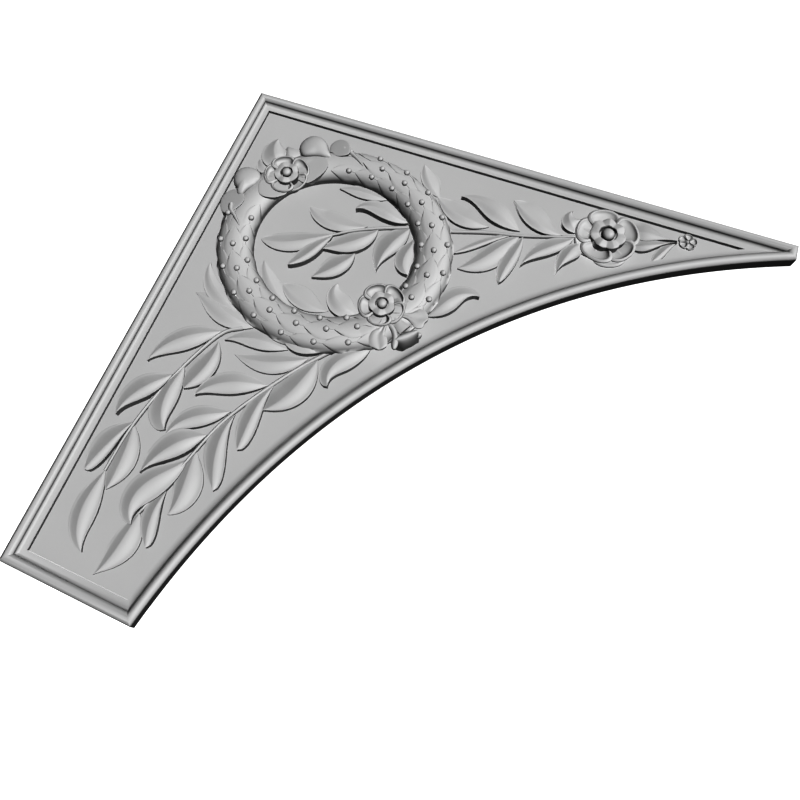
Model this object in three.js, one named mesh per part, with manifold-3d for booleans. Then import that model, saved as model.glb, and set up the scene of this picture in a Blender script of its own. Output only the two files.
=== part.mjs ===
// A carved spandrel panel: the corner piece that fills the wall above one side of an arch.
// It is one solid. A flat field is framed by a moulded rim and carries a laurel wreath with
// two flowers, two fruits and a bow, four sprays of leaves, a large rosette and a bud.
//
// Everything is modelled lying down, x along the top edge, y towards it and z out of the back,
// with the origin on the back behind the middle of the wreath. The mesh is then stood upright,
// so that it faces -Y.

import * as THREE from 'three';
import { mergeVertices } from 'three/addons/utils/BufferGeometryUtils.js';
import Module from 'manifold-3d';

const wasm = await Module();
wasm.setup();

// Panel outline
const WIDTH = 600; // along the straight top edge
const HEIGHT = 575; // along the straight left edge
const FOOT_WIDTH = 140; // flat foot at the bottom of the left edge
const TIP_HEIGHT = 17; // blunt end at the right of the top edge
const ARCH_RADIUS = 775; // concave side, the outside of the arch
const FIELD = 4; // thickness behind the carving

// Rim: a bead on the outside, then a quirk, then a cove down to the field
const EDGE_HEIGHT = 13;
const BEAD_WIDTH = 10;
const BEAD_CREST = 17;
const QUIRK_HEIGHT = 13.9;
const COVE_WIDTH = 8;
const COVE_FOOT = 8.4;

// Wreath
const WREATH_FROM_LEFT = 160;
const WREATH_FROM_TOP = 163;
const WREATH_RADIUS = 104; // to the middle of the band
const WREATH_LONG = 1.025; // the wreath is a little wider than high
const WREATH_SHORT = 0.985;
const BAND_WIDTH = 39;
const BAND_RISE = 19; // above the field
const BAND_EDGE_RISE = 3;
const BERRY = 6.4; // diameter
const BERRY_STEP = 16.4; // degrees round the wreath
const SCALE_LENGTH = 28; // one laurel leaf of the band
const SCALE_WIDTH = 15;
const SCALE_LIFT = 2.2;

// Sprays
const LEAF = 70; // length of a middling leaf
const LEAF_CREST = 0.18; // slope from a leaf's raised edge up to its midrib
const LEAF_FALL = 0.36; // slope from its midrib down to the other edge
const LEAF_EDGE = 0.8; // least thickness of the low edge
const STEM_WIDTH = 4.6;
const STEM_RISE = 4;

// Flowers, fruits and bow
const CORNER_FLOWER = 27; // radius
const BOW_FLOWER = 25;
const FLOWER_RISE = 28;
const ROSETTE = 34;
const ROSETTE_RISE = 16;
const BUD = 9.5;
const BUD_RISE = 10;
const FRUIT = 16;
const FRUIT_RISE = 23;
const RIBBON_RISE = 20;

const LEFT = -WREATH_FROM_LEFT;
const TOP = WREATH_FROM_TOP;
const ARM = WIDTH - WREATH_FROM_LEFT; // reach of the top spray
const LEG = HEIGHT - WREATH_FROM_TOP; // reach of the hanging sprays
const SUNK = 1; // how far the carving goes into the field
const FINEST = 0.03; // edges shorter than this are closed up where forms meet
const rad = THREE.MathUtils.degToRad;

// Closed skin over a row of closed rings of points. Ends that shrink to a line need no cap.
function skin(rings, capped = false) {
  const points = [];
  const faces = [];
  const n = rings[0].length;
  rings.forEach((ring) => ring.forEach((p) => points.push(p[0], p[1], p[2])));
  for (let i = 0; i + 1 < rings.length; i += 1) {
    for (let j = 0; j < n; j += 1) {
      const a = i * n + j;
      const b = i * n + ((j + 1) % n);
      faces.push(a, b, b + n, a, b + n, a + n);
    }
  }
  if (capped) {
    const last = (rings.length - 1) * n;
    for (let j = 1; j + 1 < n; j += 1) {
      faces.push(0, j + 1, j, last, last + j, last + j + 1);
    }
  }
  const geometry = new THREE.BufferGeometry();
  geometry.setAttribute('position', new THREE.Float32BufferAttribute(points, 3));
  geometry.setIndex(faces);
  return geometry;
}

// A closed geometry as a solid, with its shared corners joined and its faces turned outwards.
function solid(geometry) {
  const bare = geometry.clone();
  bare.deleteAttribute('normal');
  bare.deleteAttribute('uv');
  const merged = mergeVertices(bare, 1e-3);
  const p = merged.attributes.position.array;
  let faces = [];
  let volume = 0;
  for (let i = 0; i < merged.index.count; i += 3) {
    const [a, b, c] = [0, 1, 2].map((k) => merged.index.array[i + k]);
    if (a === b || b === c || c === a) continue;
    faces.push([a, b, c]);
    const at = (k) => new THREE.Vector3(p[3 * k], p[3 * k + 1], p[3 * k + 2]);
    volume += at(a).dot(at(b).cross(at(c)));
  }
  if (volume < 0) faces = faces.map(([a, b, c]) => [a, c, b]);
  return new wasm.Manifold(
    new wasm.Mesh({
      numProp: 3,
      vertProperties: new Float32Array(p),
      triVerts: new Uint32Array(faces.flat()),
      tolerance: FINEST,
    }),
  );
}

const join = (parts) => parts.reduce((all, part) => all.add(part));

// Outline of the panel moved inwards by d: the straight sides move in, the arch grows.
const LOW = TOP - HEIGHT;
const RIGHT = LEFT + WIDTH;
const tipFoot = new THREE.Vector2(RIGHT, TOP - TIP_HEIGHT);
const archFoot = new THREE.Vector2(LEFT + FOOT_WIDTH, LOW);
const chord = tipFoot.clone().sub(archFoot);
const away = new THREE.Vector2(chord.y, -chord.x).normalize();
const archCentre = tipFoot
  .clone()
  .add(archFoot)
  .multiplyScalar(0.5)
  .addScaledVector(away, Math.sqrt(ARCH_RADIUS ** 2 - chord.lengthSq() / 4));

function outline(d, z, steps = 22) {
  const r = ARCH_RADIUS + d;
  const onArchAtX = (x) => archCentre.y + Math.sqrt(r * r - (x - archCentre.x) ** 2);
  const onArchAtY = (y) => archCentre.x - Math.sqrt(r * r - (y - archCentre.y) ** 2);
  let tip = [RIGHT - d, TOP - d];
  let tipLow = [RIGHT - d, onArchAtX(RIGHT - d)];
  if (tipLow[1] > TOP - d) {
    tip = [onArchAtY(TOP - d), TOP - d];
    tipLow = tip;
  }
  const foot = [onArchAtY(LOW + d), LOW + d];
  const turn = (p) => Math.atan2(p[1] - archCentre.y, p[0] - archCentre.x);
  const from = turn(foot);
  const span = (turn(tipLow) - from + 2 * Math.PI) % (2 * Math.PI);
  const sweep = span > Math.PI ? span - 2 * Math.PI : span;
  const ring = [[LEFT + d, LOW + d], foot];
  for (let i = 1; i < steps; i += 1) {
    const a = from + (sweep * i) / steps;
    ring.push([archCentre.x + r * Math.cos(a), archCentre.y + r * Math.sin(a)]);
  }
  ring.push(tipLow, tip, [LEFT + d, TOP - d]);
  return ring.map(([x, y]) => [x, y, z]);
}

// Slab and rim as one closed skin, capped by the flat back and the flat field.
function framedField() {
  const rings = [outline(0, 0)];
  for (let i = 0; i <= 5; i += 1) {
    const s = i / 5;
    const swell = Math.sin(Math.PI * s) * (BEAD_CREST - (EDGE_HEIGHT + QUIRK_HEIGHT) / 2);
    rings.push(outline(BEAD_WIDTH * s, EDGE_HEIGHT + (QUIRK_HEIGHT - EDGE_HEIGHT) * s + swell));
  }
  for (let i = 1; i <= 3; i += 1) {
    const a = (Math.PI / 2) * (i / 3);
    const z = COVE_FOOT + (QUIRK_HEIGHT - COVE_FOOT) * (1 - Math.sin(a));
    rings.push(outline(BEAD_WIDTH + COVE_WIDTH * (1 - Math.cos(a)), z));
  }
  rings.push(outline(BEAD_WIDTH + COVE_WIDTH, FIELD));
  const walls = skin(rings);
  const faces = [...walls.index.array];
  const last = (rings.length - 1) * rings[0].length;
  const flat = (ring) => ring.map(([x, y]) => new THREE.Vector2(x, y));
  THREE.ShapeUtils.triangulateShape(flat(rings[0]), []).forEach(([a, b, c]) => {
    faces.push(a, c, b);
  });
  THREE.ShapeUtils.triangulateShape(flat(rings[rings.length - 1]), []).forEach((t) => {
    faces.push(...t.map((k) => last + k));
  });
  walls.setIndex(faces);
  return solid(walls);
}

// A leaf is a ridge, pointed at both ends. Its midrib is its crest, one of its edges is
// raised, and the other lies lower. rise is negative where the right edge is the raised one.
// Its midrib bends by turn degrees over its length, and by curl more towards its ends.
function leaf(base, heading, [long, turn, curl, left, right, leftPeak, rightPeak, rise]) {
  const length = (LEAF * long) / 100;
  const bend = (t) => heading + rad(turn) * (t - 0.5) + rad(curl) * ((t - 0.5) ** 2 - 1 / 12) * 6;
  const spread = (t, peak) => {
    const p = 1.1;
    const q = (p * (1 - peak)) / peak;
    return (t ** p * (1 - t) ** q) / (peak ** p * (1 - peak) ** q);
  };
  const rings = [];
  const stations = [0, 0.15, 0.36, 0.58, 0.8, 1];
  let [x, y] = base;
  stations.forEach((t, i) => {
    if (i) {
      for (let k = 0; k < 4; k += 1) {
        const step = (t - stations[i - 1]) / 4;
        const h = bend(stations[i - 1] + (k + 0.5) * step);
        x += Math.cos(h) * length * step;
        y += Math.sin(h) * length * step;
      }
    }
    const h = bend(t);
    const across = [-Math.sin(h), Math.cos(h)];
    const edge = Math.abs(rise) * (0.35 + 0.65 * Math.sin((Math.PI / 2) * Math.min(1, t / 0.45)));
    const a = ((LEAF * left) / 100) * spread(t, leftPeak / 100);
    const b = ((LEAF * right) / 100) * spread(t, rightPeak / 100);
    const [near, far] = rise > 0 ? [a, b] : [b, a];
    const crest = edge + LEAF_CREST * near;
    const low = Math.min(crest, Math.max(LEAF_EDGE, crest - LEAF_FALL * far));
    const put = (d, z) => [x + across[0] * d, y + across[1] * d, FIELD + z];
    rings.push([
      put(-b, -SUNK),
      put(-b, rise > 0 ? low : edge),
      put(0, crest),
      put(a, rise > 0 ? edge : low),
      put(a, -SUNK),
    ]);
  });
  return solid(skin(rings));
}

// A stem or ribbon along a smooth path of [x, y, half width], with a crowned top.
function strap(path, rise, steps, foot = FIELD - SUNK) {
  const curve = new THREE.CatmullRomCurve3(path.map(([x, y, w]) => new THREE.Vector3(x, y, w)));
  const rings = [];
  for (let i = 0; i <= steps; i += 1) {
    const p = curve.getPoint(i / steps);
    const t = curve.getTangent(i / steps);
    const n = new THREE.Vector2(-t.y, t.x).normalize();
    const put = (d, z) => [p.x + n.x * d, p.y + n.y * d, z];
    rings.push([
      put(-p.z, foot),
      put(-p.z, FIELD + rise * 0.55),
      put(0, FIELD + rise),
      put(p.z, FIELD + rise * 0.55),
      put(p.z, foot),
    ]);
  }
  return solid(skin(rings, true));
}

// Sprays: each stem as shares of its reach from the middle of the wreath, and its leaves as
// rows of [share along the stem, off to its left, lean from it, then length as a hundredth of
// LEAF, turn, curl, half widths and where they peak as hundredths, rise of the raised edge].
const SPRAYS = [
  {
    reach: LEG,
    stem: [[-0.124, -0.292], [-0.163, -0.319], [-0.21, -0.416], [-0.251, -0.55], [-0.267, -0.641], [-0.272, -0.735]],
    leaves: [
      [0.106, -2, -5, 120, 46, 9, 20, 18, 47, 45, 5],
      [0.153, 5.1, 20, 88, -46, 6, 16, 23, 54, 63, 5],
      [0.438, -1.7, -11, 97, 32, 12, 14, 23, 43, 50, 9],
      [0.365, 0.5, 31, 102, 56, 16, 18, 22, 50, 63, 5],
      [0.736, -1.2, -10, 90, 5, 0, 11, 24, 71, 50, 7],
      [0.74, -1.1, 15, 97, -26, 1, 21, 19, 51, 58, 2.5],
      [0.995, -0.3, 17, 115, 61, 16, 21, 16, 50, 51, 3.5],
    ],
  },
  {
    reach: LEG,
    stem: [[0.1, -0.275], [0.051, -0.335], [-0.027, -0.455], [-0.071, -0.541], [-0.111, -0.669], [-0.151, -0.789]],
    leaves: [
      [0.084, -4, -32, 110, -43, -3, 17, 16, 46, 50, 3.5],
      [0.053, 2, 17, 109, -39, -7, 22, 28, 47, 62, 5],
      [0.285, -1.6, -27, 108, 43, 11, 17, 18, 48, 53, 7],
      [0.265, 1.8, 28, 105, 22, -6, 13, 17, 69, 54, 6],
      [0.472, -2.9, -19, 98, 42, 15, 15, 17, 46, 49, 6],
      [0.467, 2.8, 37, 110, 43, -4, 15, 19, 68, 45, 5.5],
      [0.604, -1.2, -18, 104, 39, 0, 17, 22, 40, 47, 10],
      [0.676, -0.1, 18, 93, -24, -11, 25, 16, 53, 45, 2.5],
      [0.723, -0.8, 2, 123, 80, 32, 24, 19, 49, 60, 5.5],
      [0.868, 5.3, 26, 77, 37, 1, 12, 15, 69, 45, 6],
      [0.995, 0, 7, 95, -27, -5, 23, 14, 42, 47, 2.5],
    ],
  },
  {
    reach: ARM,
    stem: [[0.252, 0.143], [0.34, 0.172], [0.418, 0.191], [0.532, 0.231]],
    leaves: [
      [0.308, 7.2, 150, 95, -45, -2, 16, 24, 46, 58, 4.5],
      [0.556, 5.4, 151, 107, 45, 15, 20, 16, 43, 47, 7],
      [0.897, 2.4, 139, 93, -50, 7, 12, 29, 48, 61, 5],
      [0.503, -0.1, -153, 97, 9, -5, 5, 8, 59, 52, 4],
      [0.56, 0.4, -144, 113, -20, -12, 22, 15, 51, 51, 3.5],
      [0.583, 0.1, -113, 92, -1, 10, 10, 14, 61, 54, 6],
      [0.987, -1.2, -148, 99, 16, 15, 11, 16, 44, 43, 7],
    ],
  },
  {
    reach: ARM,
    stem: [[0.158, 0.12], [0.083, 0.089], [0.022, 0.057], [-0.014, 0.032]],
    leaves: [
      [0.541, -3.9, -27, 105, -68, 0, 13, 24, 57, 52, 4],
      [0, -5.6, -15, 92, 29, 34, 12, 16, 49, 53, 9],
      [0.966, -1.6, -10, 118, -40, -8, 16, 20, 55, 64, 3.5],
      [0.995, 1, 25, 88, -23, -5, 9, 15, 53, 58, 9],
      [0.414, 1.9, 19, 95, -38, 7, 17, 19, 46, 55, 7],
      [0.01, 1.2, 54, 95, 35, 8, 15, 24, 39, 44, 5.5],
      [0.758, 27.3, 24, 80, -36, 5, 14, 22, 48, 47, 6],
    ],
  },
];

// Leaves that grow from under a ring or a flower: [angle round it, out from its radius,
// heading, then the same as above].
const RINGS = [
  {
    centre: [0, 0],
    radius: WREATH_RADIUS,
    leaves: [
      [-117.8, 18.6, 143, 111, -55, -14, 17, 11, 49, 53, 5],
      [-109.1, 17.9, 170, 110, -16, 8, 20, 17, 47, 59, 4.5],
      [-89, 21.4, -167, 96, 34, 6, 14, 18, 44, 48, 5.5],
      [-70.1, 15.5, -171, 65, -29, -7, 10, 13, 57, 53, 8],
      [-49, 17.6, -113, 96, 75, 27, 18, 15, 47, 65, 7],
      [-18.9, 21.7, 40, 87, -59, -26, 17, 16, 58, 41, -8],
      [-101.2, -22.5, 140, 90, -41, 2, 13, 14, 57, 46, 3.5],
      [-71.5, -29.3, 169, 85, -40, 3, 13, 23, 54, 59, 2.5],
      [-49.6, -17.4, 140, 72, -102, -24, 18, 19, 46, 52, 6],
      [66.2, -19.2, -174, 80, 8, 8, 11, 13, 50, 52, 3.5],
      [26.8, -17.9, -77, 69, 59, 32, 17, 15, 64, 49, 7],
      [48.9, 27.7, 130, 69, -37, 4, 11, 18, 56, 50, 2.5],
    ],
  },
  {
    centre: [0.599 * ARM, 0.248 * ARM],
    radius: ROSETTE,
    leaves: [
      [-149.4, -7, -108, 68, 22, -3, 14, 12, 30, 46, 7],
      [-175, -4.1, 113, 43, -117, -10, 11, 25, 42, 37, -6],
      [40, -7.3, 6, 67, -10, 11, 20, 14, 25, 29, -5],
      [0.5, -10.1, 24, 68, 14, -7, 13, 9, 32, 25, -6],
    ],
  },
  {
    centre: [0.772 * ARM, 0.297 * ARM],
    radius: BUD,
    leaves: [
      [179.8, -1.4, -122, 55, 16, -8, 6, 8, 69, 54, 4],
    ],
  },
  {
    centre: [-78.3, 58.4],
    radius: CORNER_FLOWER,
    leaves: [
      [145, -10, 116, 62, -62, -10, 22, 20, 50, 50, -13],
      [99, -8, 123, 42, -20, 0, 14, 30, 55, 55, -8],
      [165, -4, 152, 36, -20, 0, 14, 22, 55, 50, 5],
      [18, -16, 38, 57, 8, 0, 21, 27, 62, 48, -19],
      [-116, -20, -110, 52, 0, 0, 23, 26, 50, 48, 18],
    ],
  },
];

function sprays() {
  const parts = [];
  SPRAYS.forEach(({ reach, stem, leaves }) => {
    const curve = new THREE.CatmullRomCurve3(
      stem.map(([x, y]) => new THREE.Vector3(x * reach, y * reach, 0)),
    );
    const taper = (i) => (STEM_WIDTH / 2) * (1 - 0.4 * (i / (stem.length - 1)));
    parts.push(
      strap(stem.map(([x, y], i) => [x * reach, y * reach, taper(i)]), STEM_RISE, 2 * stem.length),
    );
    leaves.forEach(([at, off, lean, ...form]) => {
      const p = curve.getPointAt(at);
      const t = curve.getTangentAt(at);
      const base = [p.x - t.y * off, p.y + t.x * off];
      parts.push(leaf(base, Math.atan2(t.y, t.x) + rad(lean), form));
    });
  });
  RINGS.forEach(({ centre, radius, leaves }) => {
    leaves.forEach(([angle, out, heading, ...form]) => {
      const r = radius + out;
      const base = [centre[0] + r * Math.cos(rad(angle)), centre[1] + r * Math.sin(rad(angle))];
      parts.push(leaf(base, rad(heading), form));
    });
  });
  return parts;
}

// Height of the wreath's band above the back at a distance off its middle line.
function bandHeight(off) {
  const s = Math.min(1, Math.abs(off) / (BAND_WIDTH / 2));
  return FIELD + BAND_EDGE_RISE + (BAND_RISE - BAND_EDGE_RISE) * Math.sqrt(1 - s * s * 0.96);
}

// One laurel leaf of the band: a low ridge from its base to a lifted tip.
function laurel(angle, off, way, length, width) {
  const r = WREATH_RADIUS + off;
  const reach = ((way * length) / r) * (180 / Math.PI);
  const put = (a, o, lift) => {
    const q = r + o;
    const z = bandHeight(off + o) + lift;
    return [q * WREATH_LONG * Math.cos(rad(a)), q * WREATH_SHORT * Math.sin(rad(a)), z];
  };
  const ring = (share, half, ridge) => [
    put(angle + reach * share, -half, half ? -0.4 : -4),
    put(angle + reach * share, 0, ridge),
    put(angle + reach * share, half, half ? -0.4 : -4),
    put(angle + reach * share, 0, -4),
  ];
  return solid(
    skin([
      ring(0, 0, -1),
      ring(0.5, width / 2, SCALE_LIFT * 0.8),
      ring(1, 0, SCALE_LIFT),
    ]),
  );
}

function berry(angle, off) {
  const r = WREATH_RADIUS + off;
  const ball = new THREE.OctahedronGeometry(BERRY * 0.6);
  ball.translate(
    r * WREATH_LONG * Math.cos(rad(angle)),
    r * WREATH_SHORT * Math.sin(rad(angle)),
    bandHeight(off) + BERRY * 0.2,
  );
  return solid(ball);
}

// The band is a flattened ring. Its laurel leaves run from the bow round both sides to the
// flower opposite, in three rows, each leaf with a berry near its tip.
const BOW_ANGLE = -35;
const FLOWER_ANGLE = 143;
function wreath() {
  const half = BAND_WIDTH / 2;
  const section = [[-half, FIELD - SUNK]];
  [-1, -0.8, -0.3, 0.3, 0.8, 1].forEach((s) => section.push([half * s, bandHeight(half * s)]));
  section.push([half, FIELD - SUNK], [-half, FIELD - SUNK]);
  const band = new THREE.LatheGeometry(
    section.map(([off, z]) => new THREE.Vector2(WREATH_RADIUS + off, z)),
    48,
  );
  band.rotateX(Math.PI / 2);
  band.scale(WREATH_LONG, WREATH_SHORT, 1);
  const parts = [solid(band)];
  const rows = [
    [0.7 * half, 22, 24],
    [0, 16, 20],
    [-0.66 * half, 22, 24],
  ];
  [1, -1].forEach((way) => {
    const room = way > 0 ? FLOWER_ANGLE - BOW_ANGLE : 360 - FLOWER_ANGLE + BOW_ANGLE;
    const count = Math.round((room - 3 * BERRY_STEP) / BERRY_STEP);
    rows.forEach(([off, right, left]) => {
      for (let i = 0; i < (off ? count : count - 1); i += 1) {
        const angle = BOW_ANGLE + way * ((way > 0 ? right : left) + BERRY_STEP * i);
        parts.push(laurel(angle - way * BERRY_STEP * 0.5, off, way, SCALE_LENGTH, SCALE_WIDTH));
        parts.push(berry(angle, off));
      }
    });
  });
  return parts;
}

// A flower seen from above, as rings round its middle: a rim of cupped petals centred on the
// given angles, then an inner cup of smaller ones, then a round heart.
function flower(centre, radius, rise, cup, angles, inner, turn) {
  const around = angles.map((a) => (a + 360) % 360).sort((a, b) => a - b);
  const samples = [];
  around.forEach((a, i) => {
    const next = i + 1 < around.length ? around[i + 1] : around[0] + 360;
    [0, 0.3, 0.5, 0.7].forEach((s) => samples.push([a + (next - a) * s, Math.abs(2 * s - 1)]));
  });
  const ring = (share, lobe, height, hollow = 0, small = 0) => samples.map(([a, full]) => {
    const wave = inner ? 0.5 + 0.5 * Math.cos(rad(inner * (a - turn))) : 0;
    const r = radius * (share + lobe * (Math.sqrt(full) - 1) + small * (wave - 1));
    const z = FIELD + rise * (height - hollow * (1 - full));
    return [centre[0] + r * Math.cos(rad(a)), centre[1] + r * Math.sin(rad(a)), z];
  });
  const rings = [
    ring(1, 0.2, -SUNK / rise),
    ring(1, 0.2, cup - 0.1, 0.12),
    ring(0.9, 0.2, cup, 0.14),
    ring(0.66, 0.1, cup - 0.22, 0.02),
  ];
  if (inner) {
    rings.push(
      ring(0.5, 0, cup - 0.16),
      ring(0.46, 0, 0.95, 0, 0.06),
      ring(0.34, 0, 0.9, 0, 0.04),
      ring(0.24, 0, 0.66),
      ring(0.15, 0, 0.92),
    );
  }
  const top = [centre[0], centre[1], FIELD + rise * (inner ? 1 : 0.5)];
  rings.push(samples.map(() => top));
  return [solid(skin(rings, true))];
}

// A smooth fruit, upright where it meets the carving around it and domed on top.
function fruit(centre, heading) {
  const sides = 14;
  const rings = [[1, -SUNK / FRUIT_RISE], [1, 0.62], [0.9, 0.84], [0.62, 0.96], [0, 1]];
  return solid(
    skin(
      rings.map(([share, height]) => Array.from({ length: sides }, (_, i) => {
        const a = (2 * Math.PI * i) / sides;
        const p = new THREE.Vector2(FRUIT * 1.12 * share * Math.cos(a), FRUIT * 0.92 * share * Math.sin(a));
        p.rotateAround(new THREE.Vector2(), rad(heading));
        return [centre[0] + p.x, centre[1] + p.y, FIELD + FRUIT_RISE * height];
      })),
      true,
    ),
  );
}

function ornaments() {
  const parts = [
    ...flower([-78.3, 58.4], CORNER_FLOWER, FLOWER_RISE, 0.88, [128, 48, -18, -85, -163], 5, 60),
    ...flower([75.8, -53.2], BOW_FLOWER, FLOWER_RISE, 0.88, [132, 60, -10, -80, -155], 5, 75),
    ...flower([0.598 * ARM, 0.25 * ARM], ROSETTE, ROSETTE_RISE, 0.58, [110, 35, -32, -105, 178], 7, 20),
    ...flower([0.772 * ARM, 0.297 * ARM], BUD, BUD_RISE, 0.9, [90, 18, -54, -126, 162], 0, 0),
    fruit([-63.8, 109.8], -8),
    fruit([-121.6, 44], -78),
  ];
  // Ribbon curls beyond the fruits.
  parts.push(
    strap([[-48, 106, 5], [-40, 118, 8], [-31, 119, 8], [-22, 110, 4], [-12, 104, 2.5]], RIBBON_RISE, 8),
    strap([[-117, 30, 5], [-124, 20, 9], [-122, 9, 8], [-112, 0, 3.5], [-107, -12, 2.5]], RIBBON_RISE, 8),
  );
  // Bow: flared tails and a rolled loop.
  parts.push(
    strap([[80, -54, 4], [99, -54.5, 3.2], [107, -53.6, 5.5], [114.5, -52.4, 10.5], [123, -50.8, 3.5]], 19, 9),
    strap([[78, -58, 4], [84.8, -71, 3.4], [84.8, -79, 5], [84.8, -88, 9.5], [89, -98, 4]], 17, 9),
    strap([[82, -58, 4], [95, -72.6, 3.4], [100.5, -82, 3.2], [102.6, -92, 3.6]], 15, 6),
    strap([[84, -55, 5], [93, -60.5, 4], [99.5, -65.5, 5.2], [106.5, -71, 6]], 18, 5),
    strap([[101, -82, 5.5], [104.5, -79, 7], [110, -74, 7.5], [116.5, -67, 5.5]], 18, 6),
    strap([[112, -69, 4], [118, -67.3, 4.4], [122.5, -65.3, 3]], 9, 3),
  );
  return parts;
}

// The carving keeps inside the panel's edge, whatever its size.
const inside = new THREE.Shape(outline(BEAD_WIDTH * 0.5, 0).map(([x, y]) => new THREE.Vector2(x, y)));
const room = solid(new THREE.ExtrudeGeometry(inside, { depth: 200, bevelEnabled: false }));
const carving = join([...wreath(), ...sprays(), ...ornaments()]).intersect(room);
const whole = framedField().add(carving);

// Where the leaves and petals close over a pocket, the pocket is filled: only the faces that
// hang together with the outermost corner are kept.
function outerSkin({ vertProperties, triVerts }) {
  const joined = Array.from({ length: vertProperties.length / 3 }, (_, i) => i);
  const root = (i) => {
    let k = i;
    while (joined[k] !== k) {
      joined[k] = joined[joined[k]];
      k = joined[k];
    }
    return k;
  };
  let far = 0;
  for (let i = 0; i < triVerts.length; i += 3) {
    joined[root(triVerts[i + 1])] = root(triVerts[i]);
    joined[root(triVerts[i + 2])] = root(triVerts[i]);
    if (vertProperties[3 * triVerts[i]] < vertProperties[3 * far]) far = triVerts[i];
  }
  const kept = [];
  for (let i = 0; i < triVerts.length; i += 3) {
    if (root(triVerts[i]) === root(far)) kept.push(...triVerts.slice(i, i + 3));
  }
  const geometry = new THREE.BufferGeometry();
  geometry.setAttribute('position', new THREE.Float32BufferAttribute(vertProperties, 3));
  geometry.setIndex(kept);
  return geometry;
}

const shape = outerSkin(whole.getMesh());
shape.computeVertexNormals();

const plaster = new THREE.MeshStandardMaterial({ color: 0xc4c4c4, roughness: 0.55, metalness: 0 });
const panel = new THREE.Mesh(shape, plaster);
panel.name = 'spandrel_panel';
panel.rotation.x = Math.PI / 2;

const spandrel = new THREE.Group();
spandrel.name = 'spandrel';
spandrel.add(panel);

export default spandrel;
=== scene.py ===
import math

import bmesh
import bpy
from mathutils import Matrix, Vector


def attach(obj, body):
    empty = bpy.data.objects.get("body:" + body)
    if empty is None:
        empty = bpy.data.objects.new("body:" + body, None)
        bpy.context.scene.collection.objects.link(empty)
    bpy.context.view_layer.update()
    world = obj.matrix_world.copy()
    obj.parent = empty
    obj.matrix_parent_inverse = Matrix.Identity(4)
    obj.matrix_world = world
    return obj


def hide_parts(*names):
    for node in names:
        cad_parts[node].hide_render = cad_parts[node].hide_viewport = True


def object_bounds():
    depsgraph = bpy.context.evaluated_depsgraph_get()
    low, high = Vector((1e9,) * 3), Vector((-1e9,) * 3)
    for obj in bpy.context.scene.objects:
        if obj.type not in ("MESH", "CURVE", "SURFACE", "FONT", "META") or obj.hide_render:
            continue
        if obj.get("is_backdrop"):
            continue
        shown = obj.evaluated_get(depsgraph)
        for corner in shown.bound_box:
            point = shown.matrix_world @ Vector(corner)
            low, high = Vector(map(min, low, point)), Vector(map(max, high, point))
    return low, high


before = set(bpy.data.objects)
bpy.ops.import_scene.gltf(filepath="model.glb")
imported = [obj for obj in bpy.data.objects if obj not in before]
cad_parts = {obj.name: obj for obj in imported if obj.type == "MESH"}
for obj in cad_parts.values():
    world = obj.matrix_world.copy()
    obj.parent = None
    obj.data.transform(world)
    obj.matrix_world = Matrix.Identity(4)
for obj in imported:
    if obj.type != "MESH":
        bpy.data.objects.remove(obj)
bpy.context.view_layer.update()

# Flat field and moulded rim: the cast slab behind all the carving. A round bead runs along
# every edge, then a quirk and a cove that stops in a sharp step down to the field. The back
# is plain and is bedded on the wall.
WIDTH = 600
HEIGHT = 575
FOOT_WIDTH = 140
TIP_HEIGHT = 17
ARCH_RADIUS = 775
FIELD = 4
SEAT = FIELD - 1
WREATH_FROM_LEFT = 160
WREATH_FROM_TOP = 163
ARM = WIDTH - WREATH_FROM_LEFT
LEG = HEIGHT - WREATH_FROM_TOP
LEFT, TOP = -WREATH_FROM_LEFT, WREATH_FROM_TOP
RIGHT, LOW = LEFT + WIDTH, TOP - HEIGHT
EDGE_HEIGHT, QUIRK_HEIGHT, COVE_FOOT = 13.1, 13.4, 8.4
BEAD_WIDTH, COVE_WIDTH, BEAD_SWELL = 10, 8, 3.9
BEAD_STEPS, COVE_STEPS, ARCH_STEPS = 16, 12, 96


def upright(x, y, z):
    """Millimetres on the lying carving to metres on the wall."""
    return Vector((x, -z, y)) / 1000


def carved(name, rings, smooth, capped=False):
    """A skin over closed rings of points, in the order in which they lie along the form.

    Edges that turn by more than smooth, in degrees, stay sharp.
    """
    mesh = bmesh.new()
    rows = [[mesh.verts.new(upright(*p)) for p in ring] for ring in rings]
    count = len(rows[0])
    for a, b in zip(rows, rows[1:]):
        for j in range(count):
            k = (j + 1) % count
            mesh.faces.new((a[j], a[k], b[k], b[j]))
    if capped:
        mesh.faces.new(rows[0][::-1])
        mesh.faces.new(rows[-1])
    bmesh.ops.remove_doubles(mesh, verts=mesh.verts, dist=1e-6)
    bmesh.ops.dissolve_degenerate(mesh, edges=mesh.edges, dist=1e-7)
    bmesh.ops.recalc_face_normals(mesh, faces=mesh.faces)
    data = bpy.data.meshes.new(name)
    mesh.to_mesh(data)
    mesh.free()
    piece = bpy.data.objects.new(name, data)
    bpy.context.collection.objects.link(piece)
    data.shade_smooth()
    data.set_sharp_from_angle(angle=math.radians(smooth))
    return piece


def ball(x, y, z, radius, segments, ring_count):
    """A smooth sphere at a place on the lying carving, all in millimetres."""
    bpy.ops.mesh.primitive_uv_sphere_add(
        segments=segments, ring_count=ring_count, radius=radius / 1000, location=upright(x, y, z)
    )
    piece = bpy.context.object
    bpy.ops.object.transform_apply()
    piece.data.shade_smooth()
    piece.select_set(False)
    return piece


def joined(name, pieces):
    """One piece out of several meshes."""
    bpy.ops.object.select_all(action="DESELECT")
    for piece in pieces:
        piece.select_set(True)
    bpy.context.view_layer.objects.active = pieces[0]
    bpy.ops.object.join()
    pieces[0].name = pieces[0].data.name = name
    pieces[0].select_set(False)
    return pieces[0]


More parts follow.
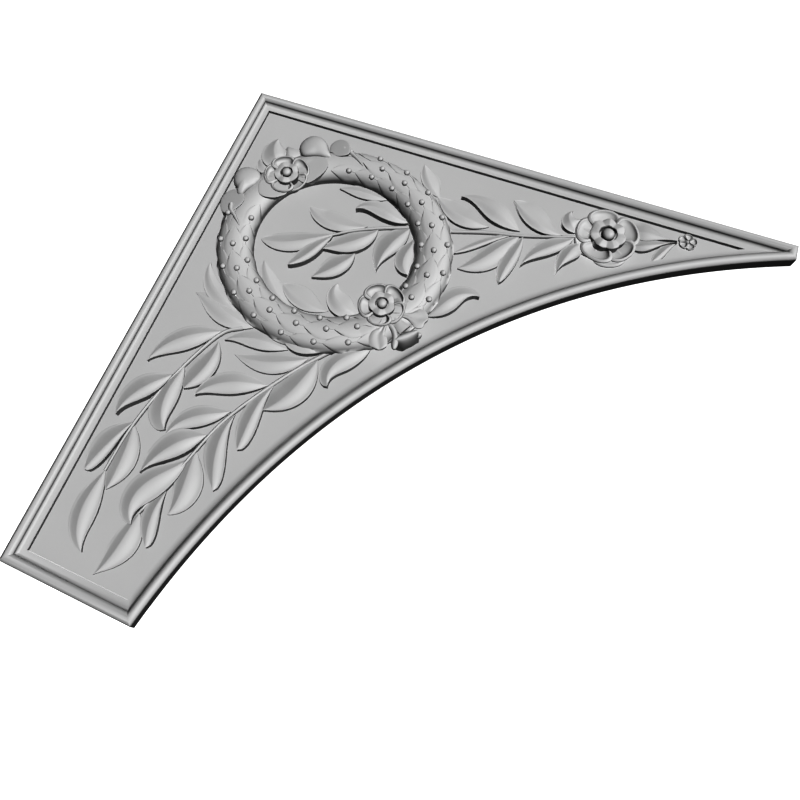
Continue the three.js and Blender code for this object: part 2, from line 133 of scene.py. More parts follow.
tip_foot = Vector((RIGHT, TOP - TIP_HEIGHT))
arch_foot = Vector((LEFT + FOOT_WIDTH, LOW))
chord = tip_foot - arch_foot
away = Vector((chord.y, -chord.x)).normalized()
half_chord = chord.length / 2
arch_centre = (tip_foot + arch_foot) / 2 + away * math.sqrt(ARCH_RADIUS**2 - half_chord**2)


def outline(d, z):
    """The panel's outline moved in by d: the straight sides move in and the arch grows."""
    r = ARCH_RADIUS + d
    tip = (RIGHT - d, TOP - d)
    tip_low = (RIGHT - d, arch_centre.y + math.sqrt(r * r - (RIGHT - d - arch_centre.x) ** 2))
    if tip_low[1] > TOP - d:
        tip = (arch_centre.x - math.sqrt(r * r - (TOP - d - arch_centre.y) ** 2), TOP - d)
        tip_low = tip
    foot = (arch_centre.x - math.sqrt(r * r - (LOW + d - arch_centre.y) ** 2), LOW + d)
    first = math.atan2(foot[1] - arch_centre.y, foot[0] - arch_centre.x) % math.tau
    last = math.atan2(tip_low[1] - arch_centre.y, tip_low[0] - arch_centre.x) % math.tau
    ring = [(LEFT + d, LOW + d), foot]
    for i in range(1, ARCH_STEPS):
        a = first + (last - first) * i / ARCH_STEPS
        ring.append((arch_centre.x + r * math.cos(a), arch_centre.y + r * math.sin(a)))
    ring += [tip_low, tip, (LEFT + d, TOP - d)]
    return [(x, y, z) for x, y in ring]


rings = [outline(0, 0), outline(0, EDGE_HEIGHT - 0.4)]
for i in range(BEAD_STEPS + 1):
    s = i / BEAD_STEPS
    level = EDGE_HEIGHT + (QUIRK_HEIGHT - EDGE_HEIGHT) * s
    rings.append(outline(BEAD_WIDTH * s, level + BEAD_SWELL * math.sin(math.pi * s) ** 0.8))
for i in range(1, COVE_STEPS + 1):
    a = math.pi / 2 * i / COVE_STEPS
    level = COVE_FOOT + (QUIRK_HEIGHT - COVE_FOOT) * (1 - math.sin(a))
    rings.append(outline(BEAD_WIDTH + COVE_WIDTH * (1 - math.cos(a)), level))
rings.append(outline(BEAD_WIDTH + COVE_WIDTH + 0.05, FIELD))
panel = carved("field_and_rim", rings, smooth=35, capped=True)

# Sprays of laurel: leaves that grow along four stems, and tufts of them that come out from
# under the wreath and the flowers. Each leaf rises to a sharp midrib with hollowed flanks, and
# its raised edge is cut straight down to the field.
LEAF, LEAF_CREST, LEAF_FALL, LEAF_EDGE = 70, 0.18, 0.36, 0.8
LEAF_STEPS, CURVE_STEPS = 36, 24
STEM_WIDTH, STEM_RISE, STEM_TAPER = 4.6, 4, 0.4
WREATH_RADIUS = 104
ROSETTE, BUD, CORNER_FLOWER = 34, 9.5, 27

# A leaf of a spray: its place as a share of the stem, how far off the stem it starts, how much
# it leans from the stem, and then its form: length in % of LEAF, turn and curl, its left and
# right widths in % of LEAF, where they are widest in %, and the rise of its raised edge, which
# is the left one, or the right one where the rise is negative. Angles are in degrees.
SPRAYS = [
    {
        "reach": LEG,
        "stem": [
            [-0.124, -0.292], [-0.163, -0.319], [-0.21, -0.416],
            [-0.251, -0.55], [-0.267, -0.641], [-0.272, -0.735],
        ],
        "leaves": [
            [0.106, -2, -5, 120, 46, 9, 20, 18, 47, 45, 5],
            [0.153, 5.1, 20, 88, -46, 6, 16, 23, 54, 63, 5],
            [0.438, -1.7, -11, 97, 32, 12, 14, 23, 43, 50, 9],
            [0.365, 0.5, 31, 102, 56, 16, 18, 22, 50, 63, 5],
            [0.736, -1.2, -10, 90, 5, 0, 11, 24, 71, 50, 7],
            [0.74, -1.1, 15, 97, -26, 1, 21, 19, 51, 58, 2.5],
            [0.995, -0.3, 17, 115, 61, 16, 21, 16, 50, 51, 3.5],
        ],
    },
    {
        "reach": LEG,
        "stem": [
            [0.1, -0.275], [0.051, -0.335], [-0.027, -0.455],
            [-0.071, -0.541], [-0.111, -0.669], [-0.151, -0.789],
        ],
        "leaves": [
            [0.084, -4, -32, 110, -43, -3, 17, 16, 46, 50, 3.5],
            [0.053, 2, 17, 109, -39, -7, 22, 28, 47, 62, 5],
            [0.285, -1.6, -27, 108, 43, 11, 17, 18, 48, 53, 7],
            [0.265, 1.8, 28, 105, 22, -6, 13, 17, 69, 54, 6],
            [0.472, -2.9, -19, 98, 42, 15, 15, 17, 46, 49, 6],
            [0.467, 2.8, 37, 110, 43, -4, 15, 19, 68, 45, 5.5],
            [0.604, -1.2, -18, 104, 39, 0, 17, 22, 40, 47, 10],
            [0.676, -0.1, 18, 93, -24, -11, 25, 16, 53, 45, 2.5],
            [0.723, -0.8, 2, 123, 80, 32, 24, 19, 49, 60, 5.5],
            [0.868, 5.3, 26, 77, 37, 1, 12, 15, 69, 45, 6],
            [0.995, 0, 7, 95, -27, -5, 23, 14, 42, 47, 2.5],
        ],
    },
    {
        "reach": ARM,
        "stem": [[0.252, 0.143], [0.34, 0.172], [0.418, 0.191], [0.532, 0.231]],
        "leaves": [
            [0.308, 7.2, 150, 95, -45, -2, 16, 24, 46, 58, 4.5],
            [0.556, 5.4, 151, 107, 45, 15, 20, 16, 43, 47, 7],
            [0.897, 2.4, 139, 93, -50, 7, 12, 29, 48, 61, 5],
            [0.503, -0.1, -153, 97, 9, -5, 5, 8, 59, 52, 4],
            [0.56, 0.4, -144, 113, -20, -12, 22, 15, 51, 51, 3.5],
            [0.583, 0.1, -113, 92, -1, 10, 10, 14, 61, 54, 6],
            [0.987, -1.2, -148, 99, 16, 15, 11, 16, 44, 43, 7],
        ],
    },
    {
        "reach": ARM,
        "stem": [[0.158, 0.12], [0.083, 0.089], [0.022, 0.057], [-0.014, 0.032]],
        "leaves": [
            [0.541, -3.9, -27, 105, -68, 0, 13, 24, 57, 52, 4],
            [0, -5.6, -15, 92, 29, 34, 12, 16, 49, 53, 9],
            [0.966, -1.6, -10, 118, -40, -8, 16, 20, 55, 64, 3.5],
            [0.995, 1, 25, 88, -23, -5, 9, 15, 53, 58, 9],
            [0.414, 1.9, 19, 95, -38, 7, 17, 19, 46, 55, 7],
            [0.01, 1.2, 54, 95, 35, 8, 15, 24, 39, 44, 5.5],
            [0.758, 27.3, 24, 80, -36, 5, 14, 22, 48, 47, 6],
        ],
    },
]

# A leaf of a tuft: its angle round the centre, how far outside the radius it starts, its
# heading, and then its form as above.
TUFTS = [
    {
        "centre": [0, 0],
        "radius": WREATH_RADIUS,
        "leaves": [
            [-117.8, 18.6, 143, 111, -55, -14, 17, 11, 49, 53, 5],
            [-109.1, 17.9, 170, 110, -16, 8, 20, 17, 47, 59, 4.5],
            [-89, 21.4, -167, 96, 34, 6, 14, 18, 44, 48, 5.5],
            [-70.1, 15.5, -171, 65, -29, -7, 10, 13, 57, 53, 8],
            [-49, 17.6, -113, 96, 75, 27, 18, 15, 47, 65, 7],
            [-18.9, 21.7, 40, 87, -59, -26, 17, 16, 58, 41, -8],
            [-101.2, -22.5, 140, 90, -41, 2, 13, 14, 57, 46, 3.5],
            [-71.5, -29.3, 169, 85, -40, 3, 13, 23, 54, 59, 2.5],
            [-49.6, -17.4, 140, 72, -102, -24, 18, 19, 46, 52, 6],
            [66.2, -19.2, -174, 80, 8, 8, 11, 13, 50, 52, 3.5],
            [26.8, -17.9, -77, 69, 59, 32, 17, 15, 64, 49, 7],
            [48.9, 27.7, 130, 69, -37, 4, 11, 18, 56, 50, 2.5],
        ],
    },
    {
        "centre": [0.599 * ARM, 0.248 * ARM],
        "radius": ROSETTE,
        "leaves": [
            [-149.4, -7, -108, 68, 22, -3, 14, 12, 30, 46, 7],
            [-175, -4.1, 113, 43, -117, -10, 11, 25, 42, 37, -6],
            [40, -7.3, 6, 67, -10, 11, 20, 14, 25, 29, -5],
            [0.5, -10.1, 24, 68, 14, -7, 13, 9, 32, 25, -6],
        ],
    },
    {
        "centre": [0.772 * ARM, 0.297 * ARM],
        "radius": BUD,
        "leaves": [
            [179.8, -1.4, -122, 55, 16, -8, 6, 8, 69, 54, 4],
        ],
    },
    {
        "centre": [-78.3, 58.4],
        "radius": CORNER_FLOWER,
        "leaves": [
            [145, -10, 116, 62, -62, -10, 22, 20, 50, 50, -13],
            [99, -8, 123, 42, -20, 0, 14, 30, 55, 55, -8],
            [165, -4, 152, 36, -20, 0, 14, 22, 55, 50, 5],
        ],
    },
]


def smooth_path(points):
    """A centripetal curve through points, as a function of the share of its length."""
    pts = [Vector(p) for p in points]
    ends = [pts[0] * 2 - pts[1]] + pts + [pts[-1] * 2 - pts[-2]]
    fine = []
    for p0, p1, p2, p3 in zip(ends, ends[1:], ends[2:], ends[3:]):
        d0, d1, d2 = ((a - b).length ** 0.5 for a, b in ((p0, p1), (p1, p2), (p2, p3)))
        t1 = (p1 - p0) / d0 - (p2 - p0) / (d0 + d1) + (p2 - p1) / d1
        t2 = (p2 - p1) / d1 - (p3 - p1) / (d1 + d2) + (p3 - p2) / d2
        t1, t2 = t1 * d1, t2 * d1
        for k in range(CURVE_STEPS):
            t = k / CURVE_STEPS
            a = p1 + t1 * t + (p2 * 3 - p1 * 3 - t1 * 2 - t2) * t**2
            fine.append(a + (p1 * 2 - p2 * 2 + t1 + t2) * t**3)
    fine.append(pts[-1])
    walked = [0]
    for a, b in zip(fine, fine[1:]):
        walked.append(walked[-1] + Vector((b - a)[:2]).length)

    def at(share):
        want = share * walked[-1]
        i = 0
        while i + 2 < len(fine) and walked[i + 1] < want:
            i += 1
        s = (want - walked[i]) / (walked[i + 1] - walked[i])
        step = fine[i + 1] - fine[i]
        return fine[i] + step * s, math.atan2(step.y, step.x)

    return at


def leaf(base, heading, form):
    """A laurel leaf over a curved midrib, with one raised side and one that falls away."""
    long, turn, curl, left, right, left_peak, right_peak, rise = form
    length = LEAF * long / 100
    turn, curl = math.radians(turn), math.radians(curl)

    def spread(t, peak):
        """How wide a side is along the leaf: 0 at both ends and 1 at its peak."""
        p = 1.1
        q = p * (1 - peak) / peak
        return t**p * (1 - t) ** q / (peak**p * (1 - peak) ** q)

    rings = []
    x, y = base
    for i in range(LEAF_STEPS + 1):
        t = i / LEAF_STEPS
        bend = heading + turn * (t - 0.5) + curl * ((t - 0.5) ** 2 - 1 / 12) * 6
        if i:
            m = t - 0.5 / LEAF_STEPS
            h = heading + turn * (m - 0.5) + curl * ((m - 0.5) ** 2 - 1 / 12) * 6
            x += math.cos(h) * length / LEAF_STEPS
            y += math.sin(h) * length / LEAF_STEPS
        across = (-math.sin(bend), math.cos(bend))
        edge = abs(rise) * (0.35 + 0.65 * math.sin(math.pi / 2 * min(1, t / 0.45)))
        wide = {
            1: LEAF * left / 100 * spread(t, left_peak / 100),
            -1: LEAF * right / 100 * spread(t, right_peak / 100),
        }
        near, far = (wide[1], wide[-1]) if rise > 0 else (wide[-1], wide[1])
        crest = edge + LEAF_CREST * near
        low = min(crest, max(LEAF_EDGE, crest - LEAF_FALL * far))
        # The raised flank has a hollow and a swell, and the other one falls away and turns up.
        ring = []
        for side in (-1, 1):
            raised = side * rise > 0
            top = edge if raised else low
            lip = top + 0.25 * min(1, far / 8)
            row = [(1, -1), (1, top - min(0.5, top * 0.5)), (0.985, top + 0.05), (0.95, lip)]
            for u in (0.87, 0.76, 0.64, 0.52, 0.4, 0.28, 0.17, 0.07):
                if raised:
                    share = (1 - u) - 0.16 * math.sin(math.tau * (1 - u))
                else:
                    share = (1 - u) ** 1.6 + 0.12 * math.sin(math.pi * u) * (1 - u)
                row.append((u, top + (crest - top) * share))
            row = [(side * u * wide[side], z) for u, z in row]
            ring += row + [(0, crest)] if side < 0 else row[::-1]
        rings.append([(x + across[0] * d, y + across[1] * d, FIELD + z) for d, z in ring])
    return carved("leaf", rings, smooth=38)


def strap(path, rise, steps=24, crown=1.0, groove=0.0, tip=0.0, thin=0.0):
    """A stem or ribbon along points of x, y, half width, with a crowned or creased top.

    The end is rounded over the share tip of its length. A thin one is a band of that thickness
    over a keel that fades towards the end, and not a solid form.
    """
    at = smooth_path(path)
    rings = []
    for i in range(steps + 1):
        t = 1 - (1 - i / steps) ** 2 if tip else i / steps
        p, h = at(t)
        across = (-math.sin(h), math.cos(h))
        round_end = math.sqrt(max(0.004, 1 - max(0, (t - 1 + tip) / tip) ** 2)) if tip else 1
        top = rise - 1.6 * (1 - round_end)
        half = p.z * round_end
        shoulder = FIELD + top - crown * 0.75 * rise * min(1, half / 3)
        keel = SEAT + (shoulder - thin - 0.2 - SEAT) * min(1, max(0, t - 0.25) / 0.3)
        under = [(-half * 0.1, keel), (-half * 0.98, shoulder - thin)] if thin else [(-half, SEAT)]
        ring = under + [(-half, shoulder)]
        for k in range(1, 12):
            u = -1 + k / 6
            crease = groove * max(0, 1 - abs(u) / 0.6) * round_end
            z = shoulder + (FIELD + top - shoulder) * (1 - u * u) - crease
            ring.append((half * u * (1.04 - 0.04 * u * u), z))
        ring += [(half, shoulder)] + [(-d, z) for d, z in under[::-1]]
        rings.append([(p.x + across[0] * d, p.y + across[1] * d, z) for d, z in ring])
    return carved("strap", rings, smooth=50, capped=True)


sprays = []
for n, spray in enumerate(SPRAYS):
    reach = spray["reach"]
    last = len(spray["stem"]) - 1
    path = [
        (x * reach, y * reach, STEM_WIDTH / 2 * (1 - STEM_TAPER * i / last))
        for i, (x, y) in enumerate(spray["stem"])
    ]
    at = smooth_path([(x, y, 0) for x, y, w in path])
    grown = [strap(path, STEM_RISE, steps=48)]
    for share, off, lean, *form in spray["leaves"]:
        p, h = at(share)
        base = (p.x - math.sin(h) * off, p.y + math.cos(h) * off)
        grown.append(leaf(base, h + math.radians(lean), form))
    sprays.append(joined(f"spray_{n + 1}", grown))
for n, tuft in enumerate(TUFTS):
    grown = []
    for angle, out, heading, *form in tuft["leaves"]:
        r, a = tuft["radius"] + out, math.radians(angle)
        base = (tuft["centre"][0] + r * math.cos(a), tuft["centre"][1] + r * math.sin(a))
        grown.append(leaf(base, math.radians(heading), form))
    sprays.append(joined(f"leaf_tuft_{n + 1}", grown))

# Wreath: a rounded band of overlapping laurel scales in three rows, which run from the bow
# round both sides to the corner flower. A berry on a short stalk sits at the tip of each.
BAND_WIDTH, BAND_RISE, BAND_EDGE_RISE = 39, 19, 3
BERRY, BERRY_LIFT = 6.4, 2.6
SCALE, SCALE_ROOT, SCALE_SUNK, SCALE_STEPS = 36, 24, -2.5, 14
STALK_RADIUS, STALK_SIDES = 0.6, 8
WREATH_LONG, WREATH_SHORT = 1.025, 0.985

# A row: its place across the band, the width and lift of its scales, and its two runs of first
# angle, step and count, in degrees.
ROWS = (
    (13.6, 15, 2.0, ((-14.3, 16.55, 8), (-61, -16.45, 8))),
    (-12.9, 15, 2.0, ((-15, 16.45, 8), (-59.6, -16.75, 8))),
    (0, 20, 2.6, ((-19.7, 16.65, 7), (-54.9, -16.75, 7))),
)


def band_height(off):
    """The height of the wreath's rounded band at a place across it."""
    s = min(1, abs(off) / (BAND_WIDTH / 2))
    return FIELD + BAND_EDGE_RISE + (BAND_RISE - BAND_EDGE_RISE) * math.sqrt(1 - s * s * 0.96)


def on_band(angle, off, lift):
    """A point over the oval band."""
    a, r = math.radians(angle), WREATH_RADIUS + off
    return (r * WREATH_LONG * math.cos(a), r * WREATH_SHORT * math.sin(a), band_height(off) + lift)


def scale(angle, off, way, width, lift):
    """One laurel scale, from its hidden root to a pointed tip that lies on the next one."""
    rings = []
    for i in range(SCALE_STEPS + 1):
        t = i / SCALE_STEPS
        point = (1 - max(0, (t - 0.45) / 0.55) ** 2.2) ** 0.9
        half = max(width / 2 * (0.8 + 0.2 * math.sin(math.pi * t)) * point, 0.05)
        a = angle + way * math.degrees(SCALE * t / WREATH_RADIUS)
        raised = lift * t**0.7
        ring = [(-half, SCALE_SUNK), (-half, raised * 0.6)]
        for k in range(1, 10):
            u = -1 + k / 5
            edge = 0.35 * max(0, abs(u) - 0.6) / 0.4
            rib = 0.5 * max(0, 0.2 - abs(u)) * (1 - t)
            ring.append((half * u * 0.99, raised + edge - 0.25 * u * u + rib))
        ring += [(half, raised * 0.6), (half, SCALE_SUNK)]
        rings.append([on_band(a, off + d, z) for d, z in ring])
    return carved("scale", rings, smooth=45, capped=True)


half_band = BAND_WIDTH / 2
section = [(-half_band, SEAT)]
for k in range(25):
    off = -half_band * math.cos(math.pi * k / 24)
    section.append((off, band_height(off)))
section.append((half_band, SEAT))
rings = []
for i in range(181):
    a = math.radians(2 * i)
    along, up = WREATH_LONG * math.cos(a), WREATH_SHORT * math.sin(a)
    rings.append([((WREATH_RADIUS + d) * along, (WREATH_RADIUS + d) * up, z) for d, z in section])
scales = [carved("band", rings, smooth=50)]
berries = []
for off, width, lift, runs in ROWS:
    for first, step, count in runs:
        way = math.copysign(1, step)
        # One more scale at each end lies under the bow or the flower and has no berry.
        for i in range(-1, count + 1):
            angle = first + step * i
            scales.append(scale(angle - way * SCALE_ROOT, off, way, width, lift))
            if not 0 <= i < count:
                continue
            berries.append(ball(*on_band(angle, off, BERRY_LIFT), BERRY / 2, 20, 12))
            stalk = []
            for back, high in ((0.5, 2.2), (1.6, 2.2), (2.8, 2.0), (4.6, 1.6)):
                x, y, z = on_band(angle - way * back, off, high)
                q = math.radians(angle - way * back)
                ring = []
                for k in range(STALK_SIDES):
                    b = math.tau * k / STALK_SIDES
                    wide, tall = STALK_RADIUS * math.cos(b), STALK_RADIUS * math.sin(b)
                    ring.append((x + wide * math.cos(q), y + wide * math.sin(q), z + tall))
                stalk.append(ring)
            berries.append(carved("stalk", stalk, smooth=80, capped=True))
wreath_band = joined("wreath_band", scales)
wreath_berries = joined("wreath_berries", berries)

# Flowers: two at the ends of the wreath, the large rosette on the top spray and its bud. Each
# has a ring of cupped petals with rolled lips, a smaller pleated cup and a round heart.
CORNER_CENTRE, BOW_CENTRE = (-78.3, 58.4), (75.8, -53.2)
ROSETTE_CENTRE, BUD_CENTRE = (0.5975 * ARM, 0.2505 * ARM), (0.772 * ARM, 0.301 * ARM)
PETAL_STEPS, PETAL_TAPER, PLEAT_STEPS = 48, 0.42, 16


def petal(centre, angle, half, inner, outer, lip, dip, tilt=0.0, drop=0.0, fall=1.6):
    """A cupped petal: up its outside from a narrow foot, over its lip and down its bowl."""
    middle, reach = (inner + outer) / 2, (outer - inner) / 2
    # Shares of the petal's reach, each with its depth below the lip, and the foot as None.
    profile = [(1.0, None), (0.99, fall + 1.4), (1.0, fall + 0.2), (0.985, fall - 0.3)]
    profile += [(0.94, 0.55 * fall), (0.89, 0.16 * fall), (0.85, 0), (0.81, 0.1)]
    profile += [(0.77, 0.2 * dip), (0.7, 0.5 * dip), (0.58, 0.8 * dip), (0.42, 0.95 * dip)]
    profile += [(0.24, dip), (0.06, 0.95 * dip)]
    rings = []
    for share, down in profile:
        ring = []
        for i in range(PETAL_STEPS):
            a = math.tau * (i + 0.5) / PETAL_STEPS
            u = share * math.copysign(abs(math.cos(a)) ** 0.72, math.cos(a))
            v = share * math.copysign(abs(math.sin(a)) ** 0.72, math.sin(a))
            b, r = math.radians(angle + half * v), middle + reach * u
            z = lip - (0 if down is None else down) + tilt * v - drop * max(0, 0.35 - u)
            if down is None:
                r, z = r * PETAL_TAPER, SEAT
            ring.append((centre[0] + r * math.cos(b), centre[1] + r * math.sin(b), z))
        rings.append(ring)
    return carved("petal", rings, smooth=55, capped=True)


def cup(centre, hole, outer, top, count, turn, pleat):
    """The inner ring of small petals, pleated side by side round a hole."""
    # Shares of the way out from the hole, each with its depth and how much it is pleated and lobed.
    profile = [(1, None, 1, 1), (1, 1.8, 1, 1), (0.97, 0.8, 1, 1), (0.9, 0.3, 1, 0.8)]
    profile += [(0.7, 0.1, 0.9, 0.4), (0.45, 0, 0.7, 0.1), (0.2, 0, 0.5, 0), (0.06, 0.3, 0.4, 0)]
    profile += [(0, 1.2, 0.3, 0), (-0.04, 4, 0, 0), (-0.08, 9, 0, 0)]
    steps = count * PLEAT_STEPS
    rings = []
    for share, down, depth, lobe in profile:
        ring = []
        for i in range(steps):
            a = math.tau * i / steps
            seam = abs((a - math.radians(turn)) * count / math.tau % 1 * 2 - 1)
            r = hole + (outer - hole) * share - lobe * outer * 0.1 * seam**2
            z = FIELD if down is None else top - down - pleat * depth * seam
            ring.append((centre[0] + r * math.cos(a), centre[1] + r * math.sin(a), z))
        rings.append(ring)
    return carved("cup", rings, smooth=30, capped=True)


def flower(name, centre, petals, lip, spread, dip, pleated, heart, under=()):
    """A whole flower: petals of angle and radius, with a lower ring of them under the gaps."""
    parts = []
    for angle, outer, high in under:
        parts.append(petal(centre, angle, spread * 0.9, 8, outer, high, 1.5, tilt=0.6))
    for n, (angle, outer) in enumerate(petals):
        raised = lip + 0.6 * (n % 2)
        parts.append(petal(centre, angle, spread, 7, outer, raised, dip, tilt=1.2, drop=2.5))
    parts.append(cup(centre, **pleated))
    radius, level = heart
    parts.append(ball(*centre, level, radius, 32, 20))
    return joined(name, parts)


corner_flower = flower(
    "corner_flower",
    CORNER_CENTRE,
    petals=((128, 25.5), (48, 26), (-18, 25), (-85, 24.5), (-163, 26)),
    lip=27.5,
    spread=44,
    dip=5.5,
    pleated={"hole": 6.6, "outer": 14, "top": 31, "count": 5, "turn": 24, "pleat": 2.2},
    heart=(5.6, 28.5),
)
bow_flower = flower(
    "bow_flower",
    BOW_CENTRE,
    petals=((132, 24.5), (60, 25), (-10, 24), (-80, 23.5), (-155, 24.5)),
    lip=27.5,
    spread=44,
    dip=5.5,
    pleated={"hole": 6.4, "outer": 13.6, "top": 31, "count": 5, "turn": 24, "pleat": 2.2},
    heart=(5.4, 28.5),
)
rosette = flower(
    "top_rosette",
    ROSETTE_CENTRE,
    petals=((110, 33), (35, 33.5), (-32, 31.5), (-105, 33.5), (178, 32)),
    lip=12.5,
    spread=42,
    dip=4,
    pleated={"hole": 8.8, "outer": 18.4, "top": 18.5, "count": 7, "turn": 20, "pleat": 2.6},
    heart=(7, 14),
    under=((-69, 34, 8), (-141, 33, 8), (143, 31, 8)),
)
bud_parts = []
for n in range(5):
    bud_parts.append(petal(BUD_CENTRE, 18 + 72 * n, 40, 1, BUD, FIELD + 7, 2, tilt=0.4, fall=1))
bud = joined("bud", bud_parts + [ball(*BUD_CENTRE, FIELD + 5.5, 1.6, 32, 20)])

# Fruits and ribbon curls beside the corner flower: smooth swelling fruits that narrow to a
# neck, each with a curled ribbon end and a thin tail that lies on the wreath.
MOUND_STEPS = 18


def mound(points, edge, top, swell, lean=(0, 0), taper=1.0, name="mound"):
    """A form over a closed outline that is upright up to its edge and rounded above it.

    It leans by a slope along x and y, and its foot may taper to a share of the outline.
    """
    # The outline is a smooth curve through the points.
    loop = []
    for i in range(len(points)):
        p0, p1, p2, p3 = (Vector(points[(i + k) % len(points)]) for k in (-1, 0, 1, 2))
        for k in range(8):
            t = k / 8
            near, far = p0 * 2 - p1 * 5 + p2 * 4 - p3, p1 * 3 - p0 - p2 * 3 + p3
            loop.append((p1 * 2 + (p2 - p0) * t + near * t**2 + far * t**3) / 2)
    middle = sum(loop, Vector((0, 0))) / len(loop)
    feet = [middle + (p - middle) * taper for p in loop]
    rings = [[(p.x, p.y, SEAT) for p in feet]]
    if taper < 1:
        rings.append([(p.x, p.y, edge - 2 + Vector(lean).dot(p - middle)) for p in loop])
    for i in range(MOUND_STEPS + 1):
        a = math.pi / 2 * i / MOUND_STEPS
        share = max(math.cos(a), 0.004)
        ring = []
        for p in loop:
            q = middle + (p - middle) * share
            slope = Vector(lean).dot(q - middle)
            ring.append((q.x, q.y, edge + (top - edge) * math.sin(a) ** swell + slope))
        rings.append(ring)
    return carved(name, rings, smooth=60, capped=True)


RIGHT_FRUIT = [(-80.5, 97), (-81.3, 108), (-75, 118), (-64, 120.4), (-54, 115.5), (-47, 106.5)]
RIGHT_NECK = [(-41, 99), (-46, 95.5), (-58, 94), (-72, 90)]
LEFT_FRUIT = [(-133, 32), (-136, 42), (-132, 51.5), (-122, 56), (-111, 54), (-105, 46), (-107, 36)]
LEFT_NECK = [(-112, 28), (-116, 19), (-122, 19), (-126, 25)]
right_fruit = mound(RIGHT_FRUIT + RIGHT_NECK, 19, 28, 0.8, name="right_fruit")
left_fruit = mound(LEFT_FRUIT + LEFT_NECK, 18, 27, 0.8, name="left_fruit")

RIGHT_CURL = [(-48.4, 110), (-49.5, 119.5), (-42.8, 126.7), (-32, 124.5)]
RIGHT_CURL += [(-25, 115), (-24, 106.5), (-34, 102), (-42.5, 104)]
RIGHT_TAIL = [(-33, 115, 3), (-24, 112, 3.2), (-14, 106.5, 2), (-3.5, 99, 0.9)]
LEFT_CURL = [(-129.5, 24.5), (-137, 17.5), (-137.5, 7), (-131, -5)]
LEFT_CURL += [(-122.7, -8.7), (-114, -2), (-109.7, 12), (-118.5, 24)]
LEFT_TAIL = [(-122, 4, 3), (-119, -3, 3.2), (-112, -8.5, 2.2), (-101, -18.5, 0.9)]
curls = []
for name, rolled, edge, tail in (
    ("right_curl", RIGHT_CURL, 21, RIGHT_TAIL),
    ("left_curl", LEFT_CURL, 19, LEFT_TAIL),
):
    roll = mound(rolled, edge, edge + 1.5, 0.4, lean=(0.3, -0.1))
    curls.append(joined(name, [roll, strap(tail, 20.5, crown=0.2, tip=0.2, thin=2)]))

# Two broad leaves that come out from under the corner flower and lie over the wreath.
UPPER_LEAF = [(-66, 86), (-49.1, 95.4), (-41.6, 89.2), (-39.5, 81.2), (-42.8, 68.4)]
UPPER_LEAF += [(-53, 54.7), (-70, 62)]
LOWER_LEAF = [(-103.6, 42.6), (-100.9, 30), (-95.4, 24.8), (-85.5, 24.9), (-76.1, 28.8)]
LOWER_LEAF += [(-68.8, 37.4), (-72, 52), (-90, 54)]
broad_leaves = joined("broad_leaves", [
    mound(UPPER_LEAF, 24.5, 25, 0.4, lean=(0.13, -0.09), taper=0.3),
    mound(LOWER_LEAF, 23, 24.5, 0.4, lean=(0.03, 0), taper=0.3),
])

# Bow: flared ribbon tails and a rolled loop that come out from under the lower flower. The
# tails have a soft fold along the middle and rounded ends. Ribbons are points of x, y, half width.
RIGHT_RIBBON = [(78, -55, 2), (95.1, -55.9, 2.4), (102, -54.3, 3), (106.5, -54, 4.6), (110.5, -53.5, 8)]
RIGHT_RIBBON += [(113.8, -53, 10.6), (117.5, -51.3, 9.6), (120.5, -50.4, 8), (123.4, -50.2, 6)]
LEFT_RIBBON = [(78, -60, 2), (84.6, -69.3, 2.6), (85.1, -74.8, 3.1), (84.6, -79, 4.6), (83.6, -83.2, 7.6)]
LEFT_RIBBON += [(85.2, -88.9, 9.2), (88, -93.5, 8.4), (90, -98, 6)]
MIDDLE_RIBBON = [(82, -58, 2), (89, -67.5, 2.6), (95.5, -73, 2.8), (99.5, -79, 3)]
MIDDLE_RIBBON += [(101.3, -85, 3.4), (102.8, -92, 3.6)]
LOOP = [(84, -55, 2.4), (92.7, -60.5, 3.5), (99.3, -65.3, 5.4), (106.3, -69, 7)]
ROLL = [(118, -66, 4.6), (114.8, -69.2, 6.6), (109.8, -74.2, 7.8), (104, -79.6, 7.6), (100, -83.6, 6.8)]
ROLL_END = [(112, -69, 3), (117, -68, 3.4), (122.5, -65.6, 3.2)]
bow = joined("bow", [
    strap(RIGHT_RIBBON, 21, steps=56, crown=0.12, groove=1.9, tip=0.12, thin=2),
    strap(LEFT_RIBBON, 21, steps=56, crown=0.12, groove=1.8, tip=0.12, thin=2),
    strap(MIDDLE_RIBBON, 20, steps=48, crown=0.15, tip=0.16, thin=2),
    strap(LOOP, 20, steps=32, crown=0.12, thin=2),
    strap(ROLL, 21, steps=48, crown=0.95, tip=0.4),
    strap(ROLL_END, 15, steps=32, crown=0.3, tip=0.3, thin=2),
])

# Finish: one light grey primer over cast plaster, satin-matt and smooth. It has a fine grain
# from the mould and is a little uneven in tone. It is darker in the steep sides of the carving, which is
# painted shade.
# The dark grey given to the steep sides is painted shade, not a colour of the primer.
TONE, STEEP_PAINTED_SHADE, ROUGHNESS = 0.46, 0.025, 0.62
STEEP, OPEN = 0.15, 0.9


class Socket:
    """A shader value that takes plain arithmetic. A node's inputs go by name, or as i0 and i1."""

    tree = None

    def __init__(self, output):
        self.output = output

    @classmethod
    def node(cls, kind, settings=None, **inputs):
        made = cls.tree.nodes.new(kind)
        for key, value in (settings or {}).items():
            setattr(made, key, value)
        for key, value in inputs.items():
            by_number = key[0] == "i" and key[1:].isdigit()
            socket = made.inputs[int(key[1:]) if by_number else key.replace("_", " ")]
            if isinstance(value, cls):
                cls.tree.links.new(value.output, socket)
            else:
                socket.default_value = value
        return made

    def math(self, operation, other):
        made = self.node("ShaderNodeMath", {"operation": operation}, i0=self, i1=other)
        return Socket(made.outputs[0])

    def __add__(self, other):
        return self.math("ADD", other)

    def __sub__(self, other):
        return self.math("SUBTRACT", other)

    def __mul__(self, other):
        return self.math("MULTIPLY", other)


